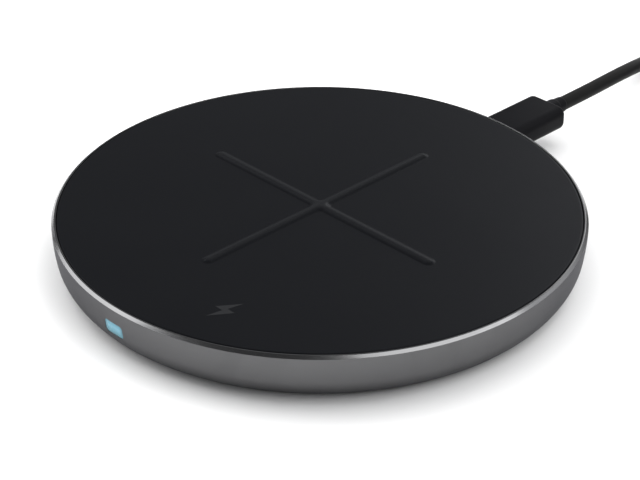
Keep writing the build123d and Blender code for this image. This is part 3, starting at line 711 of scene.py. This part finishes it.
def add_piece(name, points, faces, slot, body, crease=40, finish_name=None):
    """A mesh object from points in mm, smooth except at creases, riding on a body."""
    mesh = bpy.data.meshes.new(name)
    mesh.from_pydata([Vector(point) * MM for point in points], [], faces)
    shell = bmesh.new()
    shell.from_mesh(mesh)
    bmesh.ops.recalc_face_normals(shell, faces=shell.faces)
    shell.to_mesh(mesh)
    shell.free()
    mesh.shade_smooth()
    mesh.set_sharp_from_angle(angle=math.radians(crease))
    mesh.materials.append(finishes[finish_name or slot])
    piece = bpy.data.objects.new(name, mesh)
    bpy.context.collection.objects.link(piece)
    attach(piece, body)
    print("piece", name, len(mesh.vertices), "points")
    return piece


def loft(name, sections, slot, body, crease=40, finish_name=None):
    """A closed solid through a row of outlines that have the same number of points."""
    count = len(sections[0])
    points = [point for section in sections for point in section]
    faces = ring_faces(len(sections), count, closed=False)
    faces.append(tuple(range(count)))
    faces.append(tuple(range(len(points) - count, len(points))))
    return add_piece(name, points, faces, slot, body, crease, finish_name)


print("piece helpers defined")

# %% Helpers for outlines
def eased(corners, size, steps=3):
    """A closed outline whose sharp corners are each replaced by a small round of this size."""
    outline = []
    for k, corner in enumerate(corners):
        back = (corners[k - 1] - corner).normalized()
        on = (corners[(k + 1) % len(corners)] - corner).normalized()
        if back.angle(-on) < math.radians(15):
            outline.append(corner)
            continue
        start, end = corner + back * size, corner + on * size
        for step in range(steps + 1):
            share = step / steps
            outline.append(start.lerp(corner, share).lerp(corner.lerp(end, share), share))
    return outline


def tangent_arc(start, direction, end, steps):
    """The points after start on the arc that leaves it along this direction, and its last direction."""
    chord = end - start
    side = Vector((-direction.y, direction.x))
    turn = 2 * math.atan2(chord.dot(side), chord.dot(direction))
    radius = chord.length / (2 * math.sin(turn / 2))
    centre = start + side * radius
    points = [centre + Matrix.Rotation(turn * k / steps, 2) @ (start - centre) for k in range(1, steps + 1)]
    return points, Matrix.Rotation(turn, 2) @ direction


def rounded_outline(width, height, corner, steps=8):
    """A rectangle with round corners, as (across, up) pairs, anticlockwise."""
    outline = []
    for k in range(4):
        across = (width / 2 - corner) * (1 if k in (0, 3) else -1)
        up = (height / 2 - corner) * (1 if k in (0, 1) else -1)
        for step in range(steps + 1):
            angle = math.pi / 2 * (k + step / steps)
            outline.append((across + corner * math.cos(angle), up + corner * math.sin(angle)))
    return outline


print("outline helpers defined")

# %% Half section of the housing
RIM_RADIUS, RIM_TOP, RIM_CUT, BORE_RADIUS = 50.0, 10.1, 0.5, 49.2
SHOULDER, BASE = Vector((49.6, 4.55)), Vector((47.0, 0.6))
CORNER_EASE = 0.045
rim_edge = Vector((RIM_RADIUS, RIM_TOP - RIM_CUT))
upper, direction = tangent_arc(rim_edge, Vector((0, -1)), SHOULDER, 8)
lower, _ = tangent_arc(SHOULDER, direction, BASE, 12)
inside = [
    (43.4, 0.6),
    (43.4, 1.8),
    (41.5, 1.8),
    (41.5, 2.6),
    (47.2, 2.6),
    (48.2, 4.2),
    (48.2, 8.9),
    (BORE_RADIUS, 8.9),
    (BORE_RADIUS, RIM_TOP),
    (RIM_RADIUS - RIM_CUT, RIM_TOP),
]
half_section = eased([rim_edge] + upper + lower + [Vector(corner) for corner in inside], CORNER_EASE)
print("half section:", len(half_section), "points")

# %% Turn the housing
TURNED_STEPS = 288
turned_points = []
for k in range(TURNED_STEPS):
    angle = math.tau * k / TURNED_STEPS
    for point in half_section:
        turned_points.append((point.x * math.cos(angle), point.x * math.sin(angle), point.y))
turned_faces = ring_faces(TURNED_STEPS, len(half_section), closed=True)
housing = add_piece("turned_housing", turned_points, turned_faces, "housing_aluminium", "pad")
housing.data.materials.append(finishes["rim_cut"])
for face in housing.data.polygons:
    middle = face.center / MM
    if middle.z > RIM_TOP - RIM_CUT and math.hypot(middle.x, middle.y) > BORE_RADIUS:
        face.material_index = 1

# %% Cut the port and the window
def cut_slot(piece, sections):
    """Take the solid through these outlines, in mm, away from a piece."""
    tool = loft("tool", sections, "housing_aluminium", "pad")
    cut = piece.modifiers.new("cut", "BOOLEAN")
    cut.object = tool
    cut.solver = "EXACT"
    result = bpy.data.meshes.new_from_object(piece.evaluated_get(bpy.context.evaluated_depsgraph_get()))
    piece.modifiers.clear()
    piece.data = result
    bpy.data.objects.remove(tool)


def upright_section(outline, y, z, x=0.0):
    """An outline standing across the model's y axis."""
    return [(x + across, y, z + up) for across, up in outline]


WALL_IN, WALL_OUT = 46.0, 52.0
PORT_Z, PORT_WIDTH, PORT_HEIGHT, PORT_LIP, LIP_START = 6.25, 9.4, 3.55, 0.35, 49.6
port_round = PORT_HEIGHT / 2 - 0.01
port_section = rounded_outline(PORT_WIDTH, PORT_HEIGHT, port_round)
port_flare = rounded_outline(PORT_WIDTH + 2 * PORT_LIP, PORT_HEIGHT + 2 * PORT_LIP, port_round + PORT_LIP)
port_stations = [
    (port_section, WALL_IN),
    (port_section, LIP_START),
    (port_flare, LIP_START + PORT_LIP),
    (port_flare, WALL_OUT),
]
cut_slot(housing, [upright_section(outline, y, PORT_Z) for outline, y in port_stations])
WINDOW_Z, WINDOW_WIDTH, WINDOW_HEIGHT, WINDOW_CORNER = 5.5, 4.7, 2.7, 0.7
window_section = rounded_outline(WINDOW_WIDTH, WINDOW_HEIGHT, WINDOW_CORNER)
cut_slot(housing, [upright_section(window_section, y, WINDOW_Z) for y in (-WALL_OUT, -WALL_IN)])
housing.data.set_sharp_from_angle(angle=math.radians(25))
weighted = housing.modifiers.new("flat faces stay flat", "WEIGHTED_NORMAL")
weighted.keep_sharp = True
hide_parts("aluminium_housing")
print("housing", len(housing.data.polygons), "faces")

# %% [markdown]
# ## Skin with its raised cross
# The skin is pressed over a thin rib, so the cross is part of the same sheet: its sides rise out of the
# flat in a soft curve and roll over into a low round ridge. Displacing a fine grid would take millions
# of faces for so thin a rib, and rows put points only where the sheet bends. The cross's outline is
# drawn once, with round arm ends and small fillets in its four corners, and repeated at growing
# heights and shrinking offsets. The rim is a row of circles, and the flat between is filled.

# %% Outline of the cross at any offset
ARM_REACH, ARM_HALF, CORNER_FILLET = 28.5, 0.75, 1.2


def cross_outline(offset, height):
    """The cross's outline, this far outside its nominal one, in mm."""
    outline = []
    end_centre = ARM_REACH - ARM_HALF
    fillet_centre = ARM_HALF + CORNER_FILLET
    for quarter in range(4):
        spin = Matrix.Rotation(math.pi / 2 * quarter, 2)
        for step in range(13):
            angle = math.pi * (step / 12 - 0.5)
            reach = ARM_HALF + offset
            outline.append(spin @ Vector((end_centre + reach * math.cos(angle), reach * math.sin(angle))))
        for share in (0.75, 0.5, 0.25):
            along = fillet_centre + (end_centre - fillet_centre) * share
            outline.append(spin @ Vector((along, ARM_HALF + offset)))
        for step in range(7):
            angle = -math.pi / 2 * (1 + step / 6)
            reach = CORNER_FILLET - offset
            across = fillet_centre + reach * math.cos(angle)
            outline.append(spin @ Vector((across, fillet_centre + reach * math.sin(angle))))
        for share in (0.25, 0.5, 0.75):
            along = fillet_centre + (end_centre - fillet_centre) * share
            outline.append(spin @ Vector((ARM_HALF + offset, along)))
    return [(point.x, point.y, height) for point in outline]


print("cross outline:", len(cross_outline(0, 0)), "points")

# %% Rows of the ridge
SKIN_TOP, RIDGE = 10.1, 0.45
RIB_HALF, RIB_ROWS = 1.4, 16
ridge_steps = [(RIB_HALF + 0.1 - ARM_HALF, 0)]
for row in range(RIB_ROWS):
    out = RIB_HALF * (1 - 0.9 * row / (RIB_ROWS - 1))
    ridge_steps.append((out - ARM_HALF, RIDGE * math.cos(math.pi / 2 * out / RIB_HALF) ** 2))
rows = [cross_outline(offset, SKIN_TOP + rise) for offset, rise in ridge_steps]
count = len(rows[0])
ridge_points = [point for row in rows for point in row]
ridge_faces = ring_faces(len(rows), count, closed=False)
ridge_faces.append(tuple(range(len(ridge_points) - count, len(ridge_points))))
print("ridge:", len(rows), "rows")

# %% Rim of the skin
SKIN_RADIUS, SKIN_LOW, SKIN_ROUND = 49.0, 9.7, 0.15
RIM_COUNT = 256
rim_steps = [(SKIN_RADIUS - 0.5, SKIN_TOP)]
for step in range(5):
    angle = math.pi / 2 * step / 4
    out = SKIN_RADIUS - SKIN_ROUND * (1 - math.sin(angle))
    rim_steps.append((out, SKIN_TOP - SKIN_ROUND * (1 - math.cos(angle))))
rim_steps.append((SKIN_RADIUS, SKIN_LOW))
rim_points = []
for radius, height in rim_steps:
    for k in range(RIM_COUNT):
        angle = math.tau * k / RIM_COUNT
        rim_points.append((radius * math.cos(angle), radius * math.sin(angle), height))
rim_faces = ring_faces(len(rim_steps), RIM_COUNT, closed=False)
rim_faces.append(tuple(range(len(rim_points) - RIM_COUNT, len(rim_points))))
print("rim:", len(rim_steps), "rows")

# %% Press the skin
SKIN_CREASE = 60
first = len(ridge_points)
skin_faces = ridge_faces + [tuple(first + corner for corner in face) for face in rim_faces]
skin = add_piece("pressed_skin", ridge_points + rim_points, skin_faces, "soft_skin", "pad", SKIN_CREASE)

sheet = bmesh.new()
sheet.from_mesh(skin.data)
open_edges = [edge for edge in sheet.edges if edge.is_boundary]
bmesh.ops.triangle_fill(sheet, edges=open_edges, use_beauty=True)
bmesh.ops.recalc_face_normals(sheet, faces=sheet.faces)
sheet.to_mesh(skin.data)
print("skin closed:", all(edge.is_manifold for edge in sheet.edges), len(sheet.faces), "faces")
sheet.free()
skin.data.shade_smooth()
skin.data.set_sharp_from_angle(angle=math.radians(SKIN_CREASE))
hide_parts("top_skin")

# %% [markdown]
# ## Charging mark
# A small faint mark near the front tells where a phone charges. Here it is a plain bolt, the general
# sign for charging. It is printed so lightly that it only shows as a slightly paler grey. A mask in
# the skin's finish could draw it, but a real sheet, two hundredths of a millimetre proud, has clean
# edges.

# %% Lay in the mark
MARK_CENTRE, MARK_SIZE = Vector((14.2, -36.5)), 3.6
MARK_LOW, MARK_HIGH = SKIN_TOP - 0.05, SKIN_TOP + 0.02
bolt_outline = [(0.25, 1.0), (-0.55, -0.12), (-0.05, -0.12), (-0.25, -1.0), (0.55, 0.14), (0.05, 0.14)]


def flat_section(outline, centre, size, height):
    """An outline lying flat at this height, scaled about a centre."""
    return [(centre.x + across * size, centre.y + up * size, height) for across, up in outline]


mark_sections = [flat_section(bolt_outline, MARK_CENTRE, MARK_SIZE, z) for z in (MARK_LOW, MARK_HIGH)]
loft("charge_mark", mark_sections, "soft_skin", "pad", finish_name="skin_mark")

# %% [markdown]
# ## Plug of the lead
# The plug is moulded round its metal shell: a flat body with generous round edges, a soft shoulder at
# the rear, a short collar, and a taper down to the cord that keeps it from kinking. A bevelled box
# would round both ends alike. Here the body is a row of rounded rectangles, drawn in at each end along
# its own quarter circle, and the neck is a row of circles.

# %% Mould the plug
def moulded_sections(x, z, start, end, width, height, corner, front, rear, steps=6):
    """Outlines of a block along y whose ends are rounded by these radii."""
    stations = []
    for step in range(steps + 1):
        angle = math.pi / 2 * step / steps
        stations.append((start + front * (1 - math.cos(angle)), front * (1 - math.sin(angle))))
    for step in range(steps + 1):
        angle = math.pi / 2 * (1 - step / steps)
        stations.append((end - rear * (1 - math.cos(angle)), rear * (1 - math.sin(angle))))
    sections = []
    for y, inset in stations:
        outline = rounded_outline(width - 2 * inset, height - 2 * inset, max(corner - inset, 0.3))
        sections.append(upright_section(outline, y, z, x))
    return sections


MOULD_CREASE = 50
plug_sections = moulded_sections(
    x=0, z=PORT_Z, start=50.2, end=66.2, width=9.8, height=5.2, corner=1.9, front=0.25, rear=1.2
)
plug_body = loft("moulded_plug", plug_sections, "plug_plastic", "cable", MOULD_CREASE)
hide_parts("plug_overmould")

# %% Mould its neck
def round_sections(stations, x, z, count=48):
    """Circles across y, from (y, radius) pairs."""
    circles = []
    for y, radius in stations:
        circle = []
        for k in range(count):
            angle = math.tau * k / count
            circle.append((x + radius * math.cos(angle), y, z + radius * math.sin(angle)))
        circles.append(circle)
    return circles


neck_stations = [
    (65.9, 1.95),
    (67.9, 1.95),
    (68.15, 1.91),
    (68.35, 1.82),
    (68.6, 1.77),
    (69.4, 1.71),
    (70.2, 1.66),
    (70.42, 1.62),
    (70.5, 1.55),
]
neck_sections = round_sections(neck_stations, 0, PORT_Z)
plug_neck = loft("plug_neck", neck_sections, "plug_plastic", "cable", MOULD_CREASE)
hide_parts("plug_relief")

# %% [markdown]
# ## Strap round the spare cord
# A soft hook-and-loop strap holds the coil. It is one flat band that goes once round the bundle and
# lies over its own end. A bevelled curve would twist or thin at the corners, so the band's section, a
# thin rectangle with soft edges, is carried along a rounded rectangle round the bundle. The last
# stretch is lifted by the band's own thickness.

# %% Path of the strap
LOOP_WIDTH, LOOP_HEIGHT, LOOP_CORNER, PATH_STEP = 9.8, 10.0, 1.3, 1.2
loop_path = [Vector(pair) for pair in rounded_outline(LOOP_WIDTH, LOOP_HEIGHT, LOOP_CORNER, steps=6)]
filled_path = []
for k, here in enumerate(loop_path):
    there = loop_path[(k + 1) % len(loop_path)]
    pieces = max(1, round((there - here).length / PATH_STEP))
    filled_path += [here.lerp(there, share / pieces) for share in range(pieces)]
# The band starts a few points on, where the top begins, and ends this many points past its start
FIRST_POINT, OVERLAP = 4, 8
strap_path = filled_path[FIRST_POINT:] + filled_path[:FIRST_POINT + OVERLAP]
print("strap path:", len(strap_path), "points")

# %% Wrap the strap
STRAP_WIDTH, STRAP_THICK, STRAP_ROUND = 6.0, 0.55, 0.2
STRAP_X, STRAP_Y, STRAP_Z = 14.6, 149.0, 5.3
# The band begins to lift this many points before it meets its own start, and is up a few points later
LIFT, LIFT_LEAD, LIFT_POINTS = STRAP_THICK + 0.05, 6, 4
lift_start = len(strap_path) - OVERLAP - LIFT_LEAD
strap_sections = []
for k, here in enumerate(strap_path[1:-1], start=1):
    forward = (strap_path[k + 1] - strap_path[k - 1]).normalized()
    out = Vector((forward.y, -forward.x))
    centre = here + out * LIFT * smooth_step((k - lift_start) / LIFT_POINTS)
    section = []
    for across, up in rounded_outline(STRAP_WIDTH, STRAP_THICK, STRAP_ROUND, steps=3):
        spot = centre + out * up
        section.append((STRAP_X + across, STRAP_Y + spot.x, STRAP_Z + spot.y))
    strap_sections.append(section)
strap = loft("hook_loop_strap", strap_sections, "tie_strap", "cable", MOULD_CREASE)
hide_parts("cable_tie")

# %% [markdown]
# ## Far plug
# The other end is a standard flat plug. Its body is moulded like the first one and has shallow grip
# grooves near the rear, so that fingers can pull it. The grooves are stations of the same row of
# outlines, drawn in a little. The metal shell and the neck keep their shapes from the frame.

# %% Mould the far plug
FAR_X, FAR_Z, FAR_WIDTH, FAR_HEIGHT, FAR_CORNER = 41.5, 4.0, 15.0, 8.0, 1.8
GROOVE_DEPTH, GROOVE_PITCH, GROOVE_COUNT, GROOVE_STEPS = 0.35, 1.5, 5, 8
FIRST_GROOVE, GROOVE_SHARE = 86.0, 0.8
far_sections = moulded_sections(
    x=FAR_X, z=FAR_Z, start=73.0, end=97.0, width=FAR_WIDTH, height=FAR_HEIGHT, corner=FAR_CORNER,
    front=0.4, rear=1.5,
)
half = len(far_sections) // 2
grip = []
for groove in range(GROOVE_COUNT):
    for step in range(GROOVE_STEPS + 1):
        share = step / GROOVE_STEPS
        inset = GROOVE_DEPTH * math.sin(math.pi * share) ** 2
        outline = rounded_outline(FAR_WIDTH - 2 * inset, FAR_HEIGHT - 2 * inset, FAR_CORNER - inset)
        y = FIRST_GROOVE + GROOVE_PITCH * (groove + GROOVE_SHARE * share)
        grip.append(upright_section(outline, y, FAR_Z, FAR_X))
all_sections = far_sections[:half] + grip + far_sections[half:]
far_body = loft("far_plug_body", all_sections, "plug_plastic", "cable", MOULD_CREASE)
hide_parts("usb_a_overmould")

# %% [markdown]
# ## The cord is done

print("cord made")
